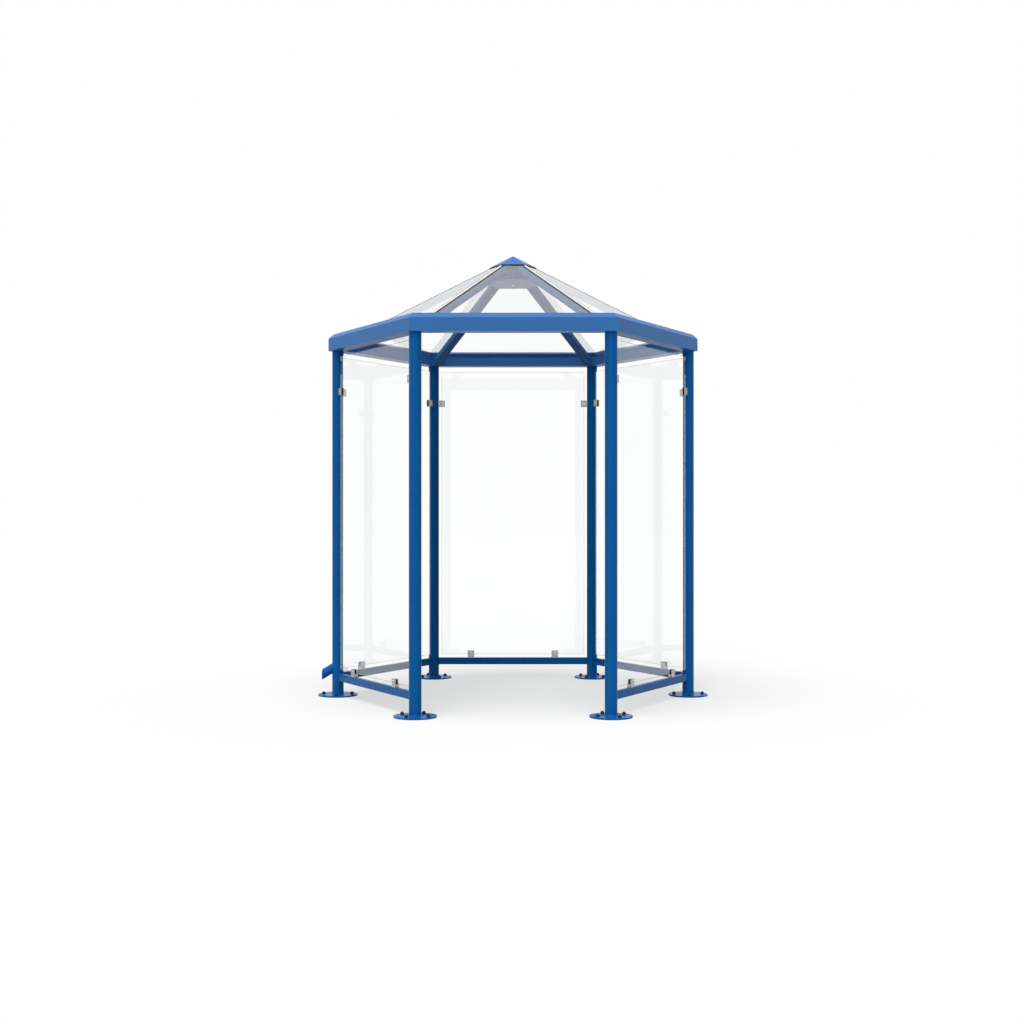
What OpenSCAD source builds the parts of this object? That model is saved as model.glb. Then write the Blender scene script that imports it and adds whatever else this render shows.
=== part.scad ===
// Hexagonal smoking shelter: six tubular steel posts, glass walls on five sides,
// an open front, a folded steel gutter ring and a glass pyramid roof.
// Millimetres, +Z up, +Y to the back wall. The origin is on the ground at the middle of the plan.

/* [Plan] */
// Distance from the middle of the plan to the centre of each post
corner_radius = 1170; // [900:10:1500]

/* [Posts] */
// Height from the ground to the underside of the gutter
clear_height = 2300; // [1800:10:2800]
// Outside diameter of a post
post_d = 76.1; // [60:0.1:90]
// Wall thickness of a post
post_wall = 3; // [2:0.5:5]
// Diameter of a base plate
base_d = 260; // [220:5:320]
// Thickness of a base plate
base_t = 10; // [8:1:20]
// Diameter of the circle through the anchor holes
anchor_pcd = 188; // [150:1:200]
// Diameter of an anchor hole
anchor_hole_d = 14; // [10:1:18]

/* [Anchor covers] */
// Outside diameter of the domed cover on each anchor
cover_d = 24; // [20:1:32]
// Height of a cover
cover_h = 17; // [15:1:25]
// Wall thickness of a cover
cover_wall = 2; // [1:0.5:3]

/* [Rails] */
// Height of the underside of the rails above the ground
rail_z = 100; // [60:5:200]
// Height of the rail section
rail_h = 50; // [40:5:80]
// Depth of the rail section, from inside to outside
rail_depth = 30; // [20:5:50]
// Wall thickness of the rail section
rail_wall = 2.5; // [1.5:0.5:4]
// Radius of the rail section's outer corners
rail_corner_r = 4; // [3:0.5:6]

/* [Wall glass] */
// Thickness of the wall panes
wall_glass_t = 8; // [6:1:12]
// Gap between a post and the edge of a pane
wall_glass_side_gap = 20; // [10:1:30]
// Gap between a rail and the lower edge of a pane
wall_glass_foot_gap = 25; // [10:1:35]
// Gap between the upper edge of a pane and the gutter
wall_glass_head_gap = 40; // [20:5:200]

/* [Glass clamps] */
// Reach of a post clamp from the post's surface
post_clamp_reach = 44; // [35:1:60]
// Height of a post clamp
post_clamp_h = 48; // [30:1:70]
// Distance from the middle of a post clamp up to the gutter
post_clamp_drop = 275; // [150:5:600]
// Width of a rail clamp along the rail
rail_clamp_w = 48; // [30:1:70]
// Height of a rail clamp above the rail
rail_clamp_h = 50; // [40:1:70]
// Distance from a post's centre to the middle of a rail clamp
rail_clamp_inset = 275; // [150:5:400]
// Thickness of every clamp, from inside to outside
clamp_t = 28; // [22:1:40]
// Thickness of the rubber lining in every clamp
liner_t = 5; // [1:0.5:6]

/* [Gutter] */
// Distance from the line of the posts out to the gutter's face
gutter_out = 55; // [45:1:80]
// Distance from the line of the posts in to the gutter's upstand
gutter_in = 45; // [40:1:60]
// Thickness of the folded sheet
gutter_sheet = 3; // [2:0.5:4]
// Height of the gutter's upright face
gutter_face_h = 82; // [60:1:120]
// Width and rise of the sloping edge above the face
gutter_chamfer = 30; // [15:1:40]
// Depth of the lip that turns down inside the sloping edge
gutter_lip = 12; // [8:1:20]
// Height of the inner upstand
gutter_upstand = 58; // [40:1:62]

/* [Roof] */
// Pitch of the roof's faces in degrees
roof_pitch = 30; // [25:1:35]
// Height of a rafter's lower end above the gutter's underside
rafter_lift = 5; // [4:0.5:12]
// Width of a rafter
rafter_w = 60; // [40:1:70]
// Height of a rafter, square to its length
rafter_h = 40; // [30:1:50]
// Wall thickness of a rafter
rafter_wall = 3; // [2:0.5:5]
// Radius of a rafter's outer corners
rafter_corner_r = 5; // [4:0.5:8]
// Width of the glazing gasket on a rafter
gasket_w = 46; // [30:1:60]
// Thickness of that gasket at its two edges
gasket_edge_t = 4; // [2:0.5:8]
// Thickness of the roof panes
roof_glass_t = 6; // [4:1:10]
// Gap between two roof panes along a hip
roof_glass_joint = 4; // [2:0.5:8]
// Overhang of a roof pane past the upstand
roof_glass_overhang = 30; // [10:1:45]

/* [Hub and cap] */
// Outside diameter of the hub tube
hub_d = 76.1; // [60:0.1:90]
// Wall thickness of the hub tube
hub_wall = 4; // [2:0.5:6]
// Distance from a corner of the hub plate to its middle
hub_plate_r = 205; // [150:1:260]
// Thickness of the hub plate
hub_plate_t = 10; // [6:1:16]
// Gap between the hub plate's corners and the rafters above them
hub_plate_gap = 10.5; // [5:0.5:30]
// Distance from a corner of the cap to its middle
cap_r = 152; // [130:1:200]
// Thickness of the cap's sheet
cap_sheet = 2; // [1.5:0.5:4]
// Thickness of the seal under the cap
seal_t = 3; // [2:0.5:6]
// Width of that seal
seal_w = 28; // [15:1:40]
// How far the seal shows past the cap's edge
seal_show = 7; // [2:1:12]
// How far the roof panes reach in under the cap
roof_glass_tuck = 60; // [40:1:75]

/* [Drain spout] */
// Outside diameter of the spout
spout_d = 60; // [40:1:70]
// Wall thickness of the spout
spout_wall = 3; // [2:0.5:4]
// Slope of the spout below the level, in degrees
spout_slope = 31; // [15:1:45]
// Height of the middle of the spout's mouth
spout_z = 140; // [110:5:200]
// Distance from the post's centre to the spout's mouth
spout_reach = 104; // [90:1:160]

/* [Clearances] */
// Gap left for a weld between two pieces
weld_gap = 0.3; // [0.1:0.1:1]
// Gap between glass and rubber
glass_fit = 0.3; // [0.1:0.1:1]

/* [Hidden] */

$fn = 64;

// Directions of the corners, seen from above and counted from +X
FRONT_LEFT = 240;
FRONT_RIGHT = 300;
MID_RIGHT = 0;
BACK_RIGHT = 60;
BACK_LEFT = 120;
MID_LEFT = 180;
CORNERS = [FRONT_LEFT, FRONT_RIGHT, MID_RIGHT, BACK_RIGHT, BACK_LEFT, MID_LEFT];

// Directions of the middles of the sides
SIDE_FRONT = 270;
SIDE_FRONT_RIGHT = 330;
SIDE_BACK_RIGHT = 30;
SIDE_BACK = 90;
SIDE_BACK_LEFT = 150;
SIDE_FRONT_LEFT = 210;
ALL_SIDES = [SIDE_FRONT, SIDE_FRONT_RIGHT, SIDE_BACK_RIGHT, SIDE_BACK, SIDE_BACK_LEFT, SIDE_FRONT_LEFT];
WALLED_SIDES = [SIDE_FRONT_LEFT, SIDE_BACK_LEFT, SIDE_BACK, SIDE_BACK_RIGHT, SIDE_FRONT_RIGHT];

// A regular hexagon: half the angle of a side, and its side's distance per unit of corner radius
HALF_SIDE = 30;
FLAT = cos(HALF_SIDE);
CUT = 10;

// Plan
post_r = post_d / 2;
side_dist = corner_radius * FLAT;
side_half = corner_radius / 2;

// Walls
rail_top = rail_z + rail_h;
wall_glass_half = side_half - post_r - wall_glass_side_gap;
wall_glass_z = rail_top + wall_glass_foot_gap;
wall_glass_h = clear_height - wall_glass_head_gap - wall_glass_z;
post_clamp_x = side_half - post_r - post_clamp_reach;
post_clamp_z = clear_height - post_clamp_drop;
rail_clamp_x = side_half - rail_clamp_inset;
slot_half = wall_glass_t / 2 + glass_fit + liner_t;

// Gutter
face_dist = side_dist + gutter_out;
upstand_dist = side_dist - gutter_in;
fold_shift = gutter_sheet * (sqrt(2) - 1);

// Roof: the rafters' undersides meet at one point, and everything above follows from it
face_fall = tan(roof_pitch);
hip_fall = face_fall * FLAT;
hip_angle = atan(hip_fall);
rafter_low_apex = clear_height + rafter_lift + hip_fall * upstand_dist / FLAT;
rafter_high_apex = rafter_low_apex + rafter_h / cos(hip_angle);
edge_drop = face_fall * sin(HALF_SIDE) * rafter_w / 2;
glass_low_apex = rafter_high_apex + gasket_edge_t / cos(roof_pitch) + edge_drop;
glass_high_apex = glass_low_apex + roof_glass_t / cos(roof_pitch);
roof_glass_edge = upstand_dist + roof_glass_overhang;
roof_glass_head = cap_r * FLAT - roof_glass_tuck;

// Hub and cap
hub_r = hub_d / 2;
hub_plate_top = rafter_low_apex - hip_fall * hub_plate_r - hub_plate_gap;
seal_low_apex = glass_high_apex + glass_fit;
cap_low_apex = seal_low_apex + seal_t / cos(roof_pitch);
cap_high_apex = cap_low_apex + cap_sheet / cos(roof_pitch);
hub_top = glass_low_apex - face_fall * hub_r;

// Spout: height of its centre line at the post's centre
spout_start_z = spout_z + spout_reach * tan(spout_slope);
spout_bore_r = spout_d / 2 - spout_wall;

STEEL = [0.04, 0.32, 0.62];
STEEL_LIGHT = [0.27, 0.52, 0.82];
STAINLESS = [0.72, 0.73, 0.74];
GLASS = [0.85, 0.93, 0.95, 0.3];
BLACK = [0.05, 0.05, 0.05];

// ---- Places -------------------------------------------------------------------

// At a corner: X points outwards from the middle of the plan, and the post stands on the origin
module at_corner(direction) {
    rotate([0, 0, direction]) translate([corner_radius, 0, 0]) children();
}

// Facing a side: Y points outwards, X runs along the side, and the origin stays in the middle
module facing(direction) {
    rotate([0, 0, direction - 90]) children();
}

// The four anchor places round a post
module at_anchors() {
    for (turn = [0 : 90 : 270]) rotate([0, 0, turn]) translate([anchor_pcd / 2, 0, 0]) children();
}

// ---- Shared shapes ------------------------------------------------------------

// A rectangle centred on the origin with round corners
module rounded_rectangle(w, h, r) {
    square([w - 2 * r, h], center = true);
    square([w, h - 2 * r], center = true);
    for (sx = [-1, 1], sy = [-1, 1])
        translate([sx * (w / 2 - r), sy * (h / 2 - r)]) circle(r = r);
}

// A rectangular hollow section with round corners
module hollow_section(w, h, wall, r) {
    difference() {
        rounded_rectangle(w, h, r);
        rounded_rectangle(w - 2 * wall, h - 2 * wall, r - wall / 2);
    }
}

// A six-sided prism with a corner on +X
module hex_prism(r, low, high) {
    translate([0, 0, low]) cylinder(r = r, h = high - low, $fn = 6);
}

// The sixth of the plan that belongs to one side, as a tall wedge
module side_wedge(high) {
    reach = 2 * corner_radius;
    linear_extrude(high)
        polygon([[0, 0], [reach * sin(HALF_SIDE), reach * FLAT], [-reach * sin(HALF_SIDE), reach * FLAT]]);
}

// Everything above one roof face whose apex is at the given height
module above_face(apex) {
    reach = 2 * corner_radius;
    translate([-reach, 0, 0]) rotate([90, 0, 90])
        linear_extrude(2 * reach)
        polygon([[-reach, apex + face_fall * reach], [reach, apex - face_fall * reach],
                 [reach, apex + 2 * reach], [-reach, apex + 2 * reach]]);
}

// A hexagonal block that ends in a roof-shaped top
module roof_block(apex, r, low) {
    difference() {
        hex_prism(r, low, apex + CUT);
        for (side = ALL_SIDES) facing(side) above_face(apex);
    }
}

// ---- Posts --------------------------------------------------------------------

module post_tube(r, low, high) {
    translate([0, 0, low]) cylinder(r = r, h = high - low, $fn = 96);
}

// The spout's centre line, as a cylinder that starts at the post's centre
module spout_line(r, length) {
    translate([0, 0, spout_start_z]) rotate([0, 90 + spout_slope, 0]) cylinder(r = r, h = length, $fn = 96);
}

module post(direction, drained) {
    color(STEEL) at_corner(direction) difference() {
        union() {
            cylinder(r = base_d / 2, h = base_t, $fn = 128);
            post_tube(post_r, base_t / 2, clear_height);
        }
        post_tube(post_r - post_wall, base_t, clear_height + CUT);
        at_anchors() translate([0, 0, -CUT]) cylinder(d = anchor_hole_d, h = base_t + 2 * CUT);
        if (drained) spout_line(spout_bore_r, spout_reach);
    }
}

// A hollow cover with a half-round top
module cover_outline(r, high) {
    intersection() {
        union() {
            square([r, high - r]);
            translate([0, high - r]) circle(r = r);
        }
        square([r, high]);
    }
}

module anchor_cover() {
    rotate_extrude($fn = 48) difference() {
        cover_outline(cover_d / 2, cover_h);
        cover_outline(cover_d / 2 - cover_wall, cover_h - cover_wall);
    }
}

module anchor_covers() {
    color(BLACK) for (corner = CORNERS)
        at_corner(corner) translate([0, 0, base_t]) at_anchors() anchor_cover();
}

module drain_spout() {
    color(STEEL) at_corner(MID_LEFT) difference() {
        intersection() {
            spout_line(spout_d / 2, spout_reach + spout_d + spout_z);
            translate([0, -spout_d, 0]) cube([spout_reach, 2 * spout_d, spout_start_z + spout_d]);
        }
        spout_line(spout_bore_r, spout_reach + spout_d + spout_z);
        post_tube(post_r + weld_gap, 0, clear_height);
    }
}

// ---- Walls --------------------------------------------------------------------

// The two posts of a side, as cylinders that cut what meets them
module post_cuts() {
    for (sx = [-1, 1])
        translate([sx * side_half, side_dist, 0]) post_tube(post_r + weld_gap, 0, clear_height);
}

module rail(side) {
    color(STEEL) facing(side) difference() {
        translate([-side_half, side_dist, rail_z + rail_h / 2]) rotate([90, 0, 90])
            linear_extrude(2 * side_half) hollow_section(rail_depth, rail_h, rail_wall, rail_corner_r);
        post_cuts();
    }
}

// A box centred on the line of the posts
module wall_box(x, low, length, high, thick) {
    translate([x, side_dist - thick / 2, low]) cube([length, thick, high]);
}

module wall_glass(side) {
    color(GLASS) facing(side)
        wall_box(-wall_glass_half, wall_glass_z, 2 * wall_glass_half, wall_glass_h, wall_glass_t);
}

// The slot that a clamp leaves for the pane and its lining, at the pane's edge
module glass_slot(extra) {
    half = wall_glass_half + glass_fit + extra;
    low = wall_glass_z - glass_fit - extra;
    wall_box(-half, low, 2 * half, clear_height - low, wall_glass_t + 2 * glass_fit + 2 * extra);
}

module post_clamp_blocks() {
    for (sx = [0, 1]) mirror([sx, 0, 0])
        wall_box(post_clamp_x, post_clamp_z - post_clamp_h / 2, side_half - post_clamp_x, post_clamp_h, clamp_t);
}

module rail_clamp_blocks() {
    for (sx = [-1, 1])
        wall_box(sx * rail_clamp_x - rail_clamp_w / 2, rail_top, rail_clamp_w, rail_clamp_h, clamp_t);
}

module post_clamps() {
    color(STAINLESS) for (side = WALLED_SIDES) facing(side) difference() {
        post_clamp_blocks();
        glass_slot(liner_t);
        post_cuts();
    }
}

module rail_clamps() {
    color(STAINLESS) for (side = WALLED_SIDES) facing(side) difference() {
        rail_clamp_blocks();
        glass_slot(liner_t);
    }
}

module clamp_liners() {
    color(BLACK) for (side = WALLED_SIDES) facing(side) difference() {
        intersection() {
            union() {
                post_clamp_blocks();
                rail_clamp_blocks();
            }
            glass_slot(liner_t);
        }
        glass_slot(0);
    }
}

// ---- Gutter -------------------------------------------------------------------

// The folded section: X is the distance from the middle of the plan, Y the height above the underside
module gutter_section() {
    lip_top = gutter_face_h + gutter_chamfer;
    lip_dist = face_dist - gutter_chamfer;
    polygon([
        [upstand_dist, 0],
        [face_dist, 0],
        [face_dist, gutter_face_h],
        [lip_dist, lip_top],
        [lip_dist, lip_top - gutter_lip],
        [lip_dist + gutter_sheet, lip_top - gutter_lip],
        [lip_dist + gutter_sheet, lip_top - gutter_sheet - fold_shift],
        [face_dist - gutter_sheet, gutter_face_h - fold_shift],
        [face_dist - gutter_sheet, gutter_sheet],
        [upstand_dist + gutter_sheet, gutter_sheet],
        [upstand_dist + gutter_sheet, gutter_upstand],
        [upstand_dist, gutter_upstand]
    ]);
}

module gutter(side) {
    color(STEEL) difference() {
        facing(side) translate([0, 0, clear_height]) intersection() {
            translate([-corner_radius, 0, 0]) rotate([90, 0, 90])
                linear_extrude(2 * corner_radius) gutter_section();
            side_wedge(gutter_face_h + gutter_chamfer + CUT);
        }
        // The outlet over the drained post
        at_corner(MID_LEFT) post_tube(post_r - post_wall, clear_height - CUT, clear_height + gutter_sheet + CUT);
    }
}

// ---- Roof ---------------------------------------------------------------------

// The part of the plan inside the upstands that belongs to one corner, as a tall block
module corner_kite() {
    dist = upstand_dist - weld_gap;
    linear_extrude(2 * corner_radius + clear_height)
        polygon([[0, 0], [dist * FLAT, dist * sin(HALF_SIDE)], [dist / FLAT, 0], [dist * FLAT, -dist * sin(HALF_SIDE)]]);
}

module hub_cut() {
    cylinder(r = hub_r + weld_gap, h = cap_high_apex, $fn = 96);
}

// A length of hollow section laid down the hip, its underside on the rafters' plane
module hip_bar() {
    rise = rafter_h / 2 / cos(hip_angle);
    translate([0, 0, rafter_low_apex + rise]) rotate([0, hip_angle, 0])
        translate([-corner_radius / 2, 0, 0]) rotate([90, 0, 90])
        linear_extrude(2 * corner_radius) hollow_section(rafter_w, rafter_h, rafter_wall, rafter_corner_r);
}

module rafter(corner) {
    color(STEEL_LIGHT) rotate([0, 0, corner]) difference() {
        intersection() {
            hip_bar();
            corner_kite();
        }
        hub_cut();
    }
}

// The rubber between a rafter's flat top and the two panes that meet above it. Its upper end
// stops where it would meet the gaskets of the next rafters
module rafter_gasket() {
    reach = corner_radius;
    head_r = max(hub_r, gasket_w) + weld_gap;
    difference() {
        intersection() {
            rotate([90, 0, 0]) linear_extrude(gasket_w, center = true)
                polygon([[0, rafter_high_apex], [reach, rafter_high_apex - hip_fall * reach],
                         [reach, glass_high_apex - hip_fall * reach], [0, glass_high_apex]]);
            corner_kite();
        }
        for (turn = [-HALF_SIDE, HALF_SIDE])
            rotate([0, 0, turn]) facing(0) above_face(glass_low_apex - glass_fit);
        cylinder(r = head_r, h = cap_high_apex);
    }
}

module rafter_gaskets() {
    color(BLACK) for (corner = CORNERS) rotate([0, 0, corner]) rafter_gasket();
}

module roof_glass(side) {
    inset = roof_glass_joint / 2 / FLAT;
    head_half = roof_glass_head * tan(HALF_SIDE) - inset;
    edge_half = roof_glass_edge * tan(HALF_SIDE) - inset;
    color(GLASS) facing(side) intersection() {
        difference() {
            above_face(glass_low_apex);
            above_face(glass_high_apex);
        }
        linear_extrude(2 * corner_radius + clear_height)
            polygon([[-head_half, roof_glass_head], [head_half, roof_glass_head],
                     [edge_half, roof_glass_edge], [-edge_half, roof_glass_edge]]);
    }
}

module hub() {
    color(STEEL_LIGHT) difference() {
        post_tube(hub_r, hub_plate_top, hub_top);
        post_tube(hub_r - hub_wall, hub_plate_top - CUT, hub_top + CUT);
    }
}

module hub_plate() {
    color(STEEL_LIGHT) hex_prism(hub_plate_r, hub_plate_top - hub_plate_t, hub_plate_top);
}

module apex_seal() {
    outer_r = cap_r + seal_show;
    low = glass_low_apex - outer_r;
    color(BLACK) difference() {
        roof_block(cap_low_apex, outer_r, low);
        roof_block(seal_low_apex, outer_r + CUT, low - CUT);
        hex_prism(outer_r - seal_w, low - CUT, cap_high_apex);
    }
}

module apex_cap() {
    low = glass_low_apex - cap_r;
    color(STEEL_LIGHT) difference() {
        roof_block(cap_high_apex, cap_r, low);
        roof_block(cap_low_apex, cap_r + CUT, low - CUT);
    }
}

// ---- Assembly -----------------------------------------------------------------

post(FRONT_LEFT, false);  // post_front_left
post(FRONT_RIGHT, false);  // post_front_right
post(MID_RIGHT, false);  // post_mid_right
post(BACK_RIGHT, false);  // post_back_right
post(BACK_LEFT, false);  // post_back_left
post(MID_LEFT, true);  // post_mid_left
anchor_covers();
rail(SIDE_FRONT_LEFT);  // rail_front_left
rail(SIDE_BACK_LEFT);  // rail_back_left
rail(SIDE_BACK);  // rail_back
rail(SIDE_BACK_RIGHT);  // rail_back_right
rail(SIDE_FRONT_RIGHT);  // rail_front_right
wall_glass(SIDE_FRONT_LEFT);  // wall_glass_front_left
wall_glass(SIDE_BACK_LEFT);  // wall_glass_back_left
wall_glass(SIDE_BACK);  // wall_glass_back
wall_glass(SIDE_BACK_RIGHT);  // wall_glass_back_right
wall_glass(SIDE_FRONT_RIGHT);  // wall_glass_front_right
post_clamps();
rail_clamps();
clamp_liners();
gutter(SIDE_FRONT);  // gutter_front
gutter(SIDE_FRONT_LEFT);  // gutter_front_left
gutter(SIDE_BACK_LEFT);  // gutter_back_left
gutter(SIDE_BACK);  // gutter_back
gutter(SIDE_BACK_RIGHT);  // gutter_back_right
gutter(SIDE_FRONT_RIGHT);  // gutter_front_right
rafter(FRONT_LEFT);  // rafter_front_left
rafter(FRONT_RIGHT);  // rafter_front_right
rafter(MID_RIGHT);  // rafter_mid_right
rafter(BACK_RIGHT);  // rafter_back_right
rafter(BACK_LEFT);  // rafter_back_left
rafter(MID_LEFT);  // rafter_mid_left
rafter_gaskets();
roof_glass(SIDE_FRONT);  // roof_glass_front
roof_glass(SIDE_FRONT_LEFT);  // roof_glass_front_left
roof_glass(SIDE_BACK_LEFT);  // roof_glass_back_left
roof_glass(SIDE_BACK);  // roof_glass_back
roof_glass(SIDE_BACK_RIGHT);  // roof_glass_back_right
roof_glass(SIDE_FRONT_RIGHT);  // roof_glass_front_right
hub();
hub_plate();
apex_seal();
apex_cap();
drain_spout();
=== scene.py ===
"""Looks for the hexagonal smoking shelter: glossy blue steel, clear glass, stainless clamps, black rubber.

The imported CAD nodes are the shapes. This script gives them their finish and adds the pieces that are too
fine for the construction model: weld beads, screws, bolts, and the silicone and rubber along the roof's hips.
Everything is in metres.
"""

import math

import bmesh
import bpy
from mathutils import Matrix, Vector

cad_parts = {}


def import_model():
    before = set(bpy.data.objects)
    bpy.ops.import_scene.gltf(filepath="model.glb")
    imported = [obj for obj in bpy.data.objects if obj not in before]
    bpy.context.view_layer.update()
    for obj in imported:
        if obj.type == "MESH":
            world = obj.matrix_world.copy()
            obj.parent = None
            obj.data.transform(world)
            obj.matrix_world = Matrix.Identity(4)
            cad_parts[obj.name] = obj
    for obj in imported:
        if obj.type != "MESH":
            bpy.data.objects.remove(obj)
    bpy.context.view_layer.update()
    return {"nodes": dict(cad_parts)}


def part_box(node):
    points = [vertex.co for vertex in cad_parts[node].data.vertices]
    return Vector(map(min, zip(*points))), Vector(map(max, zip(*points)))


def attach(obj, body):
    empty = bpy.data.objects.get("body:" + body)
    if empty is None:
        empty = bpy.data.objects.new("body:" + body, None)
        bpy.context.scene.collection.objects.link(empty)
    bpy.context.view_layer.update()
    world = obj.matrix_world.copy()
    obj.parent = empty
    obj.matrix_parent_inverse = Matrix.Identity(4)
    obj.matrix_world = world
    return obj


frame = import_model()

NODES = frame["nodes"]
BODY = "root"

# Directions seen from above, in degrees counted from +X
CORNERS = {
    "front_left": 240, "front_right": 300, "mid_right": 0,
    "back_right": 60, "back_left": 120, "mid_left": 180,
}
WALLS = {"front_left": 210, "back_left": 150, "back": 90, "back_right": 30, "front_right": 330}


# ---- Sizes -----------------------------------------------------------------------

def span(node, axis):
    """The lowest and highest coordinate of a node along an axis."""
    low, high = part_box(node)
    return low[axis], high[axis]


def direction(degrees):
    """A level unit vector."""
    return Vector((math.cos(math.radians(degrees)), math.sin(math.radians(degrees)), 0))


COS_30 = math.cos(math.radians(30))

# Read from the frame. CORNER_R is the middle of a post, SIDE_DIST the middle of a wall.
CORNER_R = sum(span("post_mid_right", 0)) / 2
SIDE_DIST = CORNER_R * COS_30
BASE_TOP = span("anchor_covers", 2)[0]
RAFTER_LOW = span("rafter_mid_right", 2)[0]
RAFTER_END = span("rafter_mid_right", 0)[1]
PLATE_Z = span("hub_plate", 2)[0]
SEAL_R = span("apex_seal", 0)[1]
POST_CLAMP_Z = sum(span("post_clamps", 2)) / 2
RAIL_CLAMP_Z = span("rail_clamps", 2)
PANE_HALF = span("wall_glass_back", 0)[1]
PANE_Z = span("wall_glass_back", 2)

# Sizes of the CAD model that no node's box gives
POST_R = 0.03805
CLAMP_T = 0.028
POST_CLAMP_REACH = 0.060
RAIL_CLAMP_INSET = 0.275
ROOF_FALL = math.tan(math.radians(30))
HIP_FALL = 0.5

# Small pieces
LIFT = 0.0001  # keeps a piece clear of what it lies on
WELD_SIZE = 0.006
WELD_HOLLOW = 0.72  # how far the face of a weld curves in
SCREW_R, SCREW_H = 0.0065, 0.0035
RAIL_SCREW_SHARE = 0.72  # how far up its clamp the screw is
RAFTER_BOLT_R, RAFTER_BOLT_H = 0.0095, 0.008
RAFTER_BOLT_PLACE = 0.115  # from the middle of the roof
HUB_BOLT_R, HUB_BOLT_H = 0.012, 0.010
BEAD_HALF, BEAD_H, BEAD_WAVER = 0.011, 0.0018, 0.03
LIP_HALF, LIP_H = 0.0038, 0.0014
STRIP_GAP = 0.001  # to the seal under the cap, and between bead and lip
STRIP_SHORT = 0.006  # of the lower edge of the panes
STRIP_STEPS = 60
STRIP_POINTS = (-1, -0.8, -0.5, -0.2, 0, 0.2, 0.5, 0.8, 1)
STRIP_WAVES = ((1.0, 31, 1), (0.6, 83, 2))  # height, radians a metre, share of the hip's angle

# Glass
SEAM = 0.0025  # how far the seamed edge of a wall pane reaches in
EDGE_LEVEL = 0.8  # a face of a roof pane points up or down by more than this, its edges by less
HAZE = 0.008
SIXTH = math.radians(60)
MIX_A, MIX_B, MIX_RESULT = 6, 7, 2  # the colour sockets of a Mix node

# Stage
FLOOR_HALF = 60.0
FLOOR_SHADE = 0.44
FLOOR_GLOW = 0.49
WORLD_LIGHT = 0.42
CAMERA_PLACE = (-0.0067, -9.506, 1.225)


# ---- Nodes -------------------------------------------------------------------------

class Nodes:
    """The node tree of a material or world, with a short name for what this script does to it."""

    def __init__(self, owner):
        owner.use_nodes = True
        self.owner = owner
        self.nodes = owner.node_tree.nodes
        self.nodes.clear()
        self.link = owner.node_tree.links.new

    def add(self, kind, **values):
        """A new node, with some of its properties set."""
        node = self.nodes.new(kind)
        for key, value in values.items():
            setattr(node, key, value)
        return node

    def show(self, shader, output="ShaderNodeOutputMaterial"):
        """Make a shader the one that is seen, and return its material or world."""
        self.link(shader.outputs[0], self.add(output).inputs["Surface"])
        return self.owner

    def calculate(self, operation, first, second=None):
        """One step of arithmetic; each side is a socket or a number."""
        node = self.add("ShaderNodeMath", operation=operation)
        for source, socket in zip((first, second), node.inputs):
            if isinstance(source, (int, float)):
                socket.default_value = source
            elif source is not None:
                self.link(source, socket)
        return node.outputs[0]

    def remap(self, source, low, high):
        """A 0 to 1 value turned into low to high."""
        node = self.add("ShaderNodeMapRange")
        node.inputs["To Min"].default_value = low
        node.inputs["To Max"].default_value = high
        self.link(source, node.inputs["Value"])
        return node.outputs["Result"]

    def ray_is(self, *kinds):
        """1 for a light ray of any of these kinds, 0 for every other."""
        path = self.add("ShaderNodeLightPath")
        either = path.outputs[f"Is {kinds[0]} Ray"]
        for kind in kinds[1:]:
            either = self.calculate("MAXIMUM", either, path.outputs[f"Is {kind} Ray"])
        return either


class Surface(Nodes):
    """A material with a Principled shader, whose patterns lie in object space."""

    def __init__(self, name):
        super().__init__(bpy.data.materials.new(name))
        self.shader = self.add("ShaderNodeBsdfPrincipled")
        self.place = self.add("ShaderNodeTexCoord").outputs["Object"]

    def noise(self, scale, detail=2.0, roughness=0.5, coords=None):
        """A noise value; a larger scale is finer."""
        node = self.add("ShaderNodeTexNoise")
        node.inputs["Scale"].default_value = scale
        node.inputs["Detail"].default_value = detail
        node.inputs["Roughness"].default_value = roughness
        self.link(self.place if coords is None else coords, node.inputs["Vector"])
        return node.outputs["Fac"]

    def ramp(self, source, low, high):
        """A colour that goes from one (place, colour) stop to the other."""
        node = self.add("ShaderNodeValToRGB")
        for element, (place, colour) in zip(node.color_ramp.elements, (low, high)):
            element.position = place
            element.color = (*colour, 1)
        self.link(source, node.inputs["Fac"])
        return node.outputs["Color"]

    def colour(self, source, low, high):
        """The base colour, from a pattern and two stops."""
        self.link(self.ramp(source, low, high), self.shader.inputs["Base Color"])

    def gloss(self, source, low, high):
        """The roughness, from a pattern."""
        self.link(self.remap(source, low, high), self.shader.inputs["Roughness"])

    def bump(self, height, distance, strength):
        """The relief, from a pattern."""
        node = self.add("ShaderNodeBump")
        node.inputs["Distance"].default_value = distance
        node.inputs["Strength"].default_value = strength
        self.link(height, node.inputs["Height"])
        self.link(node.outputs["Normal"], self.shader.inputs["Normal"])

    def level(self, socket, value):
        """A value that is the same all over the surface."""
        self.shader.inputs[socket].default_value = value


# ---- Materials ---------------------------------------------------------------------

def paint_material(name, dark, light, gloss, specular):
    """Blue powder coat: a faint orange peel, and a slow drift in shade and gloss."""
    made = Surface(name)
    made.colour(made.noise(2.3, detail=3.0), (0.30, dark), (0.70, light))
    made.gloss(made.noise(38.0, detail=3.0), *gloss)
    made.bump(made.noise(420.0, roughness=0.45), distance=0.00012, strength=0.2)
    made.level("Specular IOR Level", specular)
    return made.show(made.shader)


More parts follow.
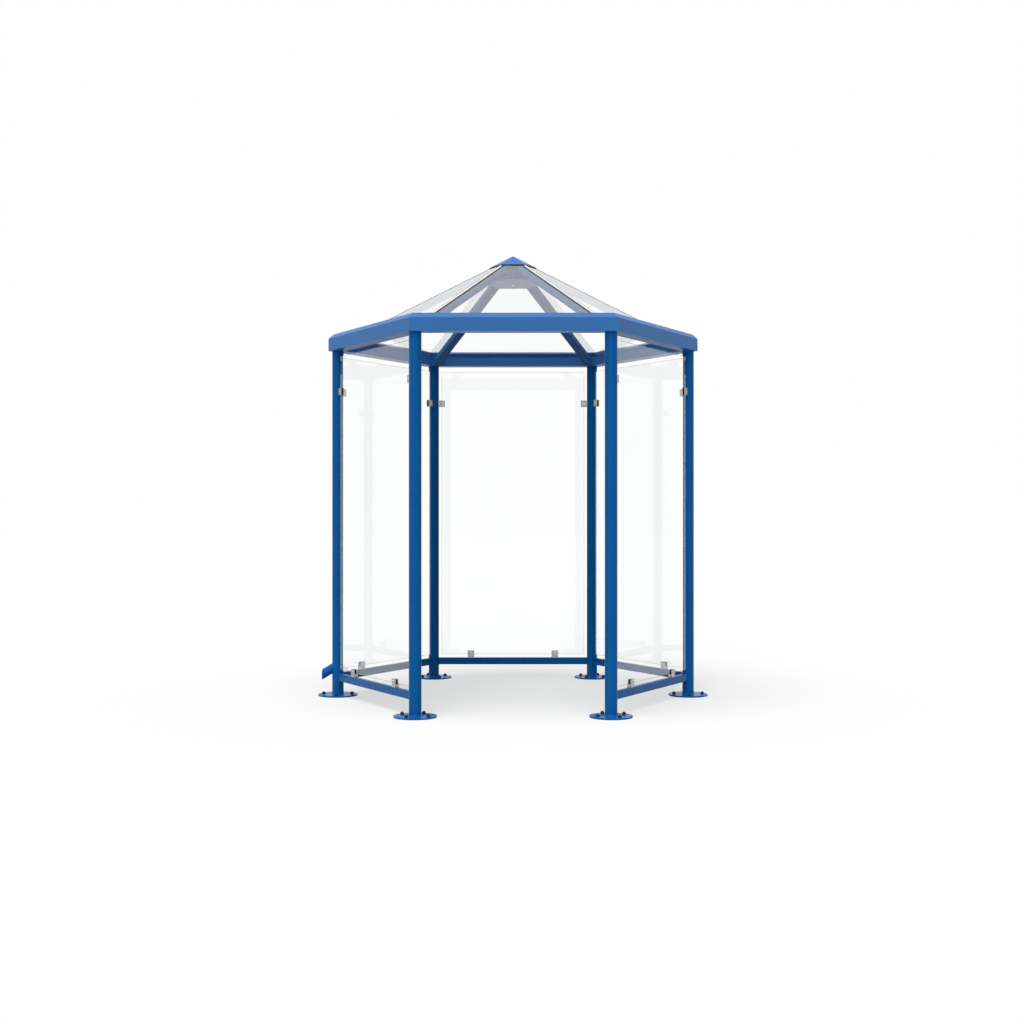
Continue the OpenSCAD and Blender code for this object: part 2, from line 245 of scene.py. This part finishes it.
def weld_material():
    """The same paint over the ripples of a weld bead."""
    made = Surface("blue_paint_on_weld")
    made.colour(made.noise(60.0), (0.3, (0.001, 0.088, 0.30)), (0.7, (0.002, 0.118, 0.37)))
    made.gloss(made.noise(150.0), 0.22, 0.34)
    made.bump(made.noise(260.0, detail=3.0), distance=0.0006, strength=0.6)
    made.level("Specular IOR Level", 0.14)
    return made.show(made.shader)


def stainless_material():
    """Satin stainless steel, brushed up and down."""
    made = Surface("brushed_stainless")
    stretch = made.add("ShaderNodeMapping")
    stretch.inputs["Scale"].default_value = (900.0, 900.0, 22.0)
    made.link(made.place, stretch.inputs["Vector"])
    grain = made.noise(1.0, detail=3.0, roughness=0.6, coords=stretch.outputs["Vector"])
    made.colour(grain, (0.25, (0.34, 0.34, 0.335)), (0.75, (0.50, 0.50, 0.49)))
    made.gloss(grain, 0.24, 0.40)
    made.bump(grain, distance=0.00008, strength=0.5)
    made.level("Metallic", 1.0)
    made.level("Anisotropic", 0.4)
    return made.show(made.shader)


def bolt_material():
    """Turned stainless steel for screw and bolt heads."""
    made = Surface("screw_steel")
    fleck = made.noise(520.0, detail=3.0, roughness=0.6)
    made.colour(fleck, (0.3, (0.50, 0.50, 0.49)), (0.7, (0.70, 0.70, 0.69)))
    made.gloss(fleck, 0.16, 0.30)
    made.level("Metallic", 1.0)
    return made.show(made.shader)


def rubber_material():
    """Matt black glazing rubber with a fine grain and a little dust."""
    made = Surface("black_glazing_rubber")
    dust = made.noise(14.0, detail=4.0, roughness=0.6)
    grain = made.noise(700.0)
    made.colour(dust, (0.35, (0.010, 0.010, 0.011)), (0.75, (0.022, 0.022, 0.022)))
    made.gloss(grain, 0.55, 0.75)
    made.bump(grain, distance=0.0002, strength=0.4)
    made.level("Specular IOR Level", 0.3)
    return made.show(made.shader)


def plastic_material():
    """Satin black moulded plastic."""
    made = Surface("black_moulded_plastic")
    spark = made.noise(900.0)
    made.colour(spark, (0.3, (0.006, 0.007, 0.009)), (0.7, (0.012, 0.013, 0.016)))
    made.gloss(spark, 0.28, 0.42)
    made.bump(spark, distance=0.0001, strength=0.5)
    made.level("Specular IOR Level", 0.25)
    return made.show(made.shader)


def silicone_material():
    """Pale glazing silicone, smoothed by hand: a little cloudy, a little uneven."""
    made = Surface("pale_glazing_silicone")
    cloud = made.noise(11.0, detail=4.0, roughness=0.6)
    stroke = made.noise(160.0, detail=3.0)
    made.colour(cloud, (0.3, (0.72, 0.73, 0.73)), (0.7, (0.82, 0.83, 0.83)))
    made.gloss(stroke, 0.30, 0.45)
    made.bump(stroke, distance=0.0005, strength=0.5)
    return made.show(made.shader)


def edge_mask_wall(made):
    """1 on the seamed edge of an upright pane: its ends, foot and head, on any of the six sides."""
    split = made.add("ShaderNodeSeparateXYZ")
    made.link(made.place, split.inputs[0])
    x, y, z = split.outputs
    turn = made.calculate("DIVIDE", made.calculate("ARCTAN2", y, x), SIXTH)
    from_wall = made.calculate("SUBTRACT", turn, 0.5)
    off_wall = made.calculate("SUBTRACT", from_wall, made.calculate("ROUND", from_wall))
    swing = made.calculate("SINE", made.calculate("MULTIPLY", off_wall, SIXTH))
    squares = made.calculate("ADD", made.calculate("MULTIPLY", x, x), made.calculate("MULTIPLY", y, y))
    along = made.calculate("MULTIPLY", made.calculate("SQRT", squares), swing)
    at_end = made.calculate("GREATER_THAN", made.calculate("ABSOLUTE", along), PANE_HALF - SEAM)
    at_foot = made.calculate("LESS_THAN", z, PANE_Z[0] + SEAM)
    at_head = made.calculate("GREATER_THAN", z, PANE_Z[1] - SEAM)
    return made.calculate("MAXIMUM", at_end, made.calculate("MAXIMUM", at_foot, at_head))


def edge_mask_roof(made):
    """1 on the cut edges of a roof pane, whose faces lie nearer to level than its edges do."""
    split = made.add("ShaderNodeSeparateXYZ")
    made.link(made.add("ShaderNodeNewGeometry").outputs["True Normal"], split.inputs[0])
    return made.calculate("LESS_THAN", made.calculate("ABSOLUTE", split.outputs[2]), EDGE_LEVEL)


def glass_material(name, tint, edge_tint, edge_mask, ior, passing):
    """Clear toughened glass with darker, greener cut edges. Part of the lamps' light passes through it."""
    made = Surface(name)
    hazy = [channel - HAZE for channel in tint]
    face = made.ramp(made.noise(3.1, detail=3.0), (0.3, tint), (0.7, hazy))
    colour = made.add("ShaderNodeMix", data_type="RGBA")
    made.link(edge_mask(made), colour.inputs["Factor"])
    made.link(face, colour.inputs[MIX_A])
    colour.inputs[MIX_B].default_value = (*edge_tint, 1)
    made.link(colour.outputs[MIX_RESULT], made.shader.inputs["Base Color"])
    made.gloss(made.noise(9.0, detail=3.0), 0.0, 0.015)
    made.level("Transmission Weight", 1.0)
    made.level("IOR", ior)
    made.level("Specular IOR Level", 0.5)
    see_through = made.add("ShaderNodeBsdfTransparent")
    see_through.inputs["Color"].default_value = (*passing, 1)
    mix = made.add("ShaderNodeMixShader")
    made.link(made.ray_is("Shadow", "Diffuse"), mix.inputs["Fac"])
    made.link(made.shader.outputs[0], mix.inputs[1])
    made.link(see_through.outputs[0], mix.inputs[2])
    return made.show(mix)


PAINT = paint_material(
    "blue_gloss_paint", dark=(0.0010, 0.102, 0.335), light=(0.0016, 0.117, 0.378),
    gloss=(0.24, 0.32), specular=0.08)
# The same blue paint with a base colour lifted towards white. This is a painted sheen that stands in for the
# pale reflection on the sheet parts. Only the higher roughness is the real satin finish.
SATIN_WITH_PAINTED_SHEEN = paint_material(
    "blue_satin_paint", dark=(0.038, 0.168, 0.445), light=(0.044, 0.185, 0.485),
    gloss=(0.34, 0.46), specular=0.10)
WELD = weld_material()
STAINLESS = stainless_material()
BOLT = bolt_material()
RUBBER = rubber_material()
PLASTIC = plastic_material()
SILICONE = silicone_material()
WALL_GLASS = glass_material(
    "wall_glass_clear", tint=(0.985, 0.995, 0.992), edge_tint=(0.42, 0.48, 0.45),
    edge_mask=edge_mask_wall, ior=1.45, passing=(0.44, 0.455, 0.45))
ROOF_GLASS = glass_material(
    "roof_glass_clear", tint=(0.98, 0.992, 0.99), edge_tint=(0.42, 0.56, 0.53),
    edge_mask=edge_mask_roof, ior=1.56, passing=(0.84, 0.855, 0.85))

# What a node's name starts with, and its finish. The first that fits counts; the rest have glossy paint.
FINISHES = (
    ("wall_glass", WALL_GLASS), ("roof_glass", ROOF_GLASS),
    ("rafter_gaskets", RUBBER), ("clamp_liners", RUBBER), ("apex_seal", RUBBER),
    ("post_clamps", STAINLESS), ("rail_clamps", STAINLESS), ("anchor_covers", PLASTIC),
    ("gutter", SATIN_WITH_PAINTED_SHEEN), ("rafter", SATIN_WITH_PAINTED_SHEEN), ("hub", SATIN_WITH_PAINTED_SHEEN), ("apex_cap", SATIN_WITH_PAINTED_SHEEN),
)


def finish_of(node):
    """The finish of a CAD node."""
    for start, finish in FINISHES:
        if node.startswith(start):
            return finish
    return PAINT


for node_name, node_object in NODES.items():
    node_object.data.materials.clear()
    node_object.data.materials.append(finish_of(node_name))


# ---- Making small pieces ---------------------------------------------------------------

def piece(name, mesh, material):
    """A new piece that rides with the shelter."""
    mesh.materials.append(material)
    made = bpy.data.objects.new(name, mesh)
    bpy.context.scene.collection.objects.link(made)
    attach(made, BODY)
    return made


def smooth_mesh(name, shape):
    """A bmesh made into a smooth mesh, and freed."""
    bmesh.ops.recalc_face_normals(shape, faces=shape.faces)
    mesh = bpy.data.meshes.new(name)
    shape.to_mesh(mesh)
    shape.free()
    for face in mesh.polygons:
        face.use_smooth = True
    return mesh


def circle(shape, r, z, count):
    """A level loop of points on a circle."""
    turn = 2 * math.pi / count
    return [shape.verts.new((r * math.cos(i * turn), r * math.sin(i * turn), z)) for i in range(count)]


def hexagon(shape, r, z, count):
    """A level loop of points on a hexagon whose corners are r from the middle."""
    loop = []
    for i in range(count):
        turn = 2 * math.pi * i / count
        reach = r * COS_30 / math.cos(turn % SIXTH - SIXTH / 2)
        loop.append(shape.verts.new((reach * math.cos(turn), reach * math.sin(turn), z)))
    return loop


def join_loops(shape, loops):
    """Faces between each loop and the next; a point that a loop repeats counts once in a face."""
    for low, high in zip(loops, loops[1:]):
        for i in range(len(low)):
            j = (i + 1) % len(low)
            shape.faces.new(dict.fromkeys((low[i], low[j], high[j], high[i])))


def close_ends(shape, loops):
    """A face over the first loop and one over the last."""
    shape.faces.new(list(reversed(loops[0])))
    shape.faces.new(loops[-1])


def spin(profile, segments=32):
    """A bmesh turned round Z from (radius, height) points."""
    shape = bmesh.new()
    loops = []
    for r, z in profile:
        if r == 0:
            loops.append([shape.verts.new((0, 0, z))] * segments)
        else:
            loops.append(circle(shape, r, z, segments))
    join_loops(shape, loops)
    return shape


def place_copies(shape, places):
    """One mesh that holds a copy of a bmesh at each matrix."""
    single = bpy.data.meshes.new("single")
    shape.to_mesh(single)
    shape.free()
    gathered = bmesh.new()
    for matrix in places:
        before = set(gathered.verts)
        gathered.from_mesh(single)
        added = [v for v in gathered.verts if v not in before]
        bmesh.ops.transform(gathered, matrix=matrix, verts=added)
    bpy.data.meshes.remove(single)
    return smooth_mesh("copies", gathered)


def pointing(place, axis):
    """A matrix that puts a shape's Z along axis at a place."""
    return Matrix.Translation(place) @ Vector(axis).to_track_quat("Z", "Y").to_matrix().to_4x4()


def upward(height):
    """An upright vector."""
    return Vector((0, 0, height))


# ---- Welds, screws and bolts -------------------------------------------------------------

def weld_profile(inner, low):
    """A closed bead with a hollow face, between an upright tube and a flat below it."""
    steps = 6
    bead = [(inner, low), (inner + WELD_SIZE, low)]
    for i in range(1, steps):
        turn = math.pi / 2 * i / steps
        bead.append((inner + WELD_SIZE * (1 - WELD_HOLLOW * math.sin(turn)),
                     low + WELD_SIZE * (1 - WELD_HOLLOW * math.cos(turn))))
    return bead + [(inner, low + WELD_SIZE), (inner, low)]


def post_welds():
    """The fillet weld round the foot of every post."""
    shape = spin(weld_profile(POST_R + LIFT, BASE_TOP + LIFT), segments=64)
    places = [Matrix.Translation(direction(angle) * CORNER_R) for angle in CORNERS.values()]
    piece("post_foot_welds", place_copies(shape, places), WELD)


def socket_screw(r, h):
    """A domed head with a six-sided socket drawn into it."""
    segments, dome_steps = 24, 6
    socket_r, socket_depth = 0.45 * r, 0.45 * h
    rim_r, skirt_h = 1.08 * socket_r, 0.30 * h
    shape = bmesh.new()
    loops = [hexagon(shape, 0.98 * socket_r, h - socket_depth, segments),
             hexagon(shape, socket_r, 0.98 * h, segments)]
    for i in range(1, dome_steps + 1):
        lean = math.pi / 2 * i / dome_steps
        dome_r = rim_r + (r - rim_r) * math.sin(lean)
        loops.append(circle(shape, dome_r, skirt_h + (h - skirt_h) * math.cos(lean), segments))
    loops.append(circle(shape, r, 0, segments))
    join_loops(shape, loops)
    close_ends(shape, loops)
    return shape


def clamp_screws():
    """A socket screw on the inner and the outer face of each clamp."""
    rail_screw_z = RAIL_CLAMP_Z[0] + RAIL_SCREW_SHARE * (RAIL_CLAMP_Z[1] - RAIL_CLAMP_Z[0])
    spots = ((CORNER_R / 2 - POST_CLAMP_REACH, POST_CLAMP_Z), (CORNER_R / 2 - RAIL_CLAMP_INSET, rail_screw_z))
    places = []
    for angle in WALLS.values():
        out, along = direction(angle), direction(angle + 90)
        for side in (-1, 1):
            for run, height in spots:
                for face in (-1, 1):
                    place = out * (SIDE_DIST + face * CLAMP_T / 2) + along * side * run + upward(height)
                    places.append(pointing(place, out * face))
    piece("clamp_screws", place_copies(socket_screw(SCREW_R, SCREW_H), places), BOLT)


def hex_head(r, h):
    """A hexagon bolt head on a washer, with a chamfered top."""
    washer_r, washer_h = 1.35 * r, 0.22 * h
    shape = spin([(0, 0), (washer_r, 0), (washer_r, 0.18 * h), (1.30 * r, washer_h), (0, washer_h)])
    loops = [circle(shape, loop_r, z, 6) for loop_r, z in ((r, washer_h), (r, 0.88 * h), (0.88 * r, h))]
    join_loops(shape, loops)
    close_ends(shape, loops)
    return shape


def rafter_bolts():
    """A bolt in the underside of each rafter near the hub."""
    slope = math.atan(HIP_FALL)
    height = RAFTER_LOW + HIP_FALL * (RAFTER_END - RAFTER_BOLT_PLACE)
    places = []
    for angle in CORNERS.values():
        out = direction(angle)
        down = -(out * math.sin(slope)) - upward(math.cos(slope))
        places.append(pointing(out * RAFTER_BOLT_PLACE + upward(height), down))
    piece("rafter_bolts", place_copies(hex_head(RAFTER_BOLT_R, RAFTER_BOLT_H), places), BOLT)


def hub_bolt():
    """The bolt under the middle of the hub plate."""
    place = pointing(upward(PLATE_Z), (0, 0, -1))
    piece("hub_bolt", place_copies(hex_head(HUB_BOLT_R, HUB_BOLT_H), [place]), BOLT)


# ---- Joints on the hips of the roof ------------------------------------------------------

def hip_strip(shape, angle, middle, half, high, waver):
    """A low domed strip down one hip, on top of the panes, its middle line a way to the side of the hip."""
    glass = NODES["roof_glass_front"].data.vertices
    apex = max(v.co.z - ROOF_FALL * v.co.y for v in glass)
    start = SEAL_R + STRIP_GAP
    stop = max(-v.co.y for v in glass) / COS_30 - STRIP_SHORT - abs(middle) * ROOF_FALL
    out, side = direction(angle), direction(angle + 90)
    loops = []
    for i in range(STRIP_STEPS + 1):
        run = start + (stop - start) * i / STRIP_STEPS
        waves = sum(size * math.sin(pace * run + share * angle) for size, pace, share in STRIP_WAVES)
        upper, lower = [], []
        for t in STRIP_POINTS:
            off = middle + t * half * (1 + waver * waves)
            height = apex - ROOF_FALL * (run * COS_30 + abs(off) / 2) + LIFT
            place = out * run + side * off + upward(height)
            lower.append(place)
            upper.append(place + upward(high * math.sqrt(1 - t * t)))
        loops.append([shape.verts.new(v) for v in upper + list(reversed(lower[1:-1]))])
    join_loops(shape, loops)
    close_ends(shape, loops)


def hip_strips(name, middles, half, high, waver, material):
    """The same strip or strips on all six hips, as one piece."""
    shape = bmesh.new()
    for angle in CORNERS.values():
        for middle in middles:
            hip_strip(shape, angle, middle, half, high, waver)
    piece(name, smooth_mesh(name, shape), material)


def hip_joints():
    """A silicone bead over each joint between two roof panes, between two lips of black rubber."""
    lip_middle = BEAD_HALF + LIP_HALF + STRIP_GAP
    hip_strips("hip_silicone", (0,), BEAD_HALF, BEAD_H, BEAD_WAVER, SILICONE)
    hip_strips("hip_rubber_lips", (-lip_middle, lip_middle), LIP_HALF, LIP_H, 0.0, RUBBER)


post_welds()
clamp_screws()
rafter_bolts()
hip_joints()
hub_bolt()


# ---- Stage ---------------------------------------------------------------------------------

def floor():
    """A plain pale floor far past the view, which glows where it is seen but lights nothing."""
    mesh = bpy.data.meshes.new("floor")
    corners = [(x * FLOOR_HALF, y * FLOOR_HALF, 0) for x, y in ((-1, -1), (1, -1), (1, 1), (-1, 1))]
    mesh.from_pydata(corners, [], [(0, 1, 2, 3)])
    made = bpy.data.objects.new("floor", mesh)
    bpy.context.scene.collection.objects.link(made)
    nodes = Nodes(bpy.data.materials.new("floor_white"))
    shade = nodes.add("ShaderNodeBsdfDiffuse")
    shade.inputs["Color"].default_value = (FLOOR_SHADE, FLOOR_SHADE, FLOOR_SHADE, 1)
    glow = nodes.add("ShaderNodeEmission")
    seen = nodes.ray_is("Camera", "Glossy", "Transmission")
    nodes.link(nodes.calculate("MULTIPLY", seen, FLOOR_GLOW), glow.inputs["Strength"])
    both = nodes.add("ShaderNodeAddShader")
    nodes.link(shade.outputs[0], both.inputs[0])
    nodes.link(glow.outputs[0], both.inputs[1])
    mesh.materials.append(nodes.show(both))


def world():
    """White to the camera, in gloss and through glass; softer where it lights the object."""
    nodes = Nodes(bpy.data.worlds.new("studio"))
    background = nodes.add("ShaderNodeBackground")
    background.inputs["Color"].default_value = (1, 1, 1, 1)
    seen = nodes.ray_is("Camera", "Glossy", "Transmission")
    nodes.link(nodes.remap(seen, WORLD_LIGHT, 1.0), background.inputs["Strength"])
    bpy.context.scene.world = nodes.show(background, output="ShaderNodeOutputWorld")


def sun(name, toward, strength, spread):
    """A soft lamp far away that shines along a direction; its spread is in degrees."""
    light = bpy.data.lights.new(name, "SUN")
    light.energy = strength
    light.angle = math.radians(spread)
    made = bpy.data.objects.new(name, light)
    made.rotation_euler = Vector(toward).to_track_quat("-Z", "Y").to_euler()
    bpy.context.scene.collection.objects.link(made)


def camera():
    """Level, in front of the open side, at the height of a person's chest."""
    lens = bpy.data.cameras.new("camera")
    lens.lens = 50.0
    lens.sensor_width = 36.0
    lens.clip_end = 200.0
    made = bpy.data.objects.new("camera", lens)
    made.location = CAMERA_PLACE
    made.rotation_euler = (math.radians(90), 0, 0)
    bpy.context.scene.collection.objects.link(made)
    bpy.context.scene.camera = made


floor()
world()
sun("overhead_lamp", toward=(0.12, 0.30, -1.0), strength=2.35, spread=50)
sun("front_lamp", toward=(0.25, 1.0, -0.45), strength=0.48, spread=30)
camera()

bpy.context.scene.view_settings.view_transform = "Standard"
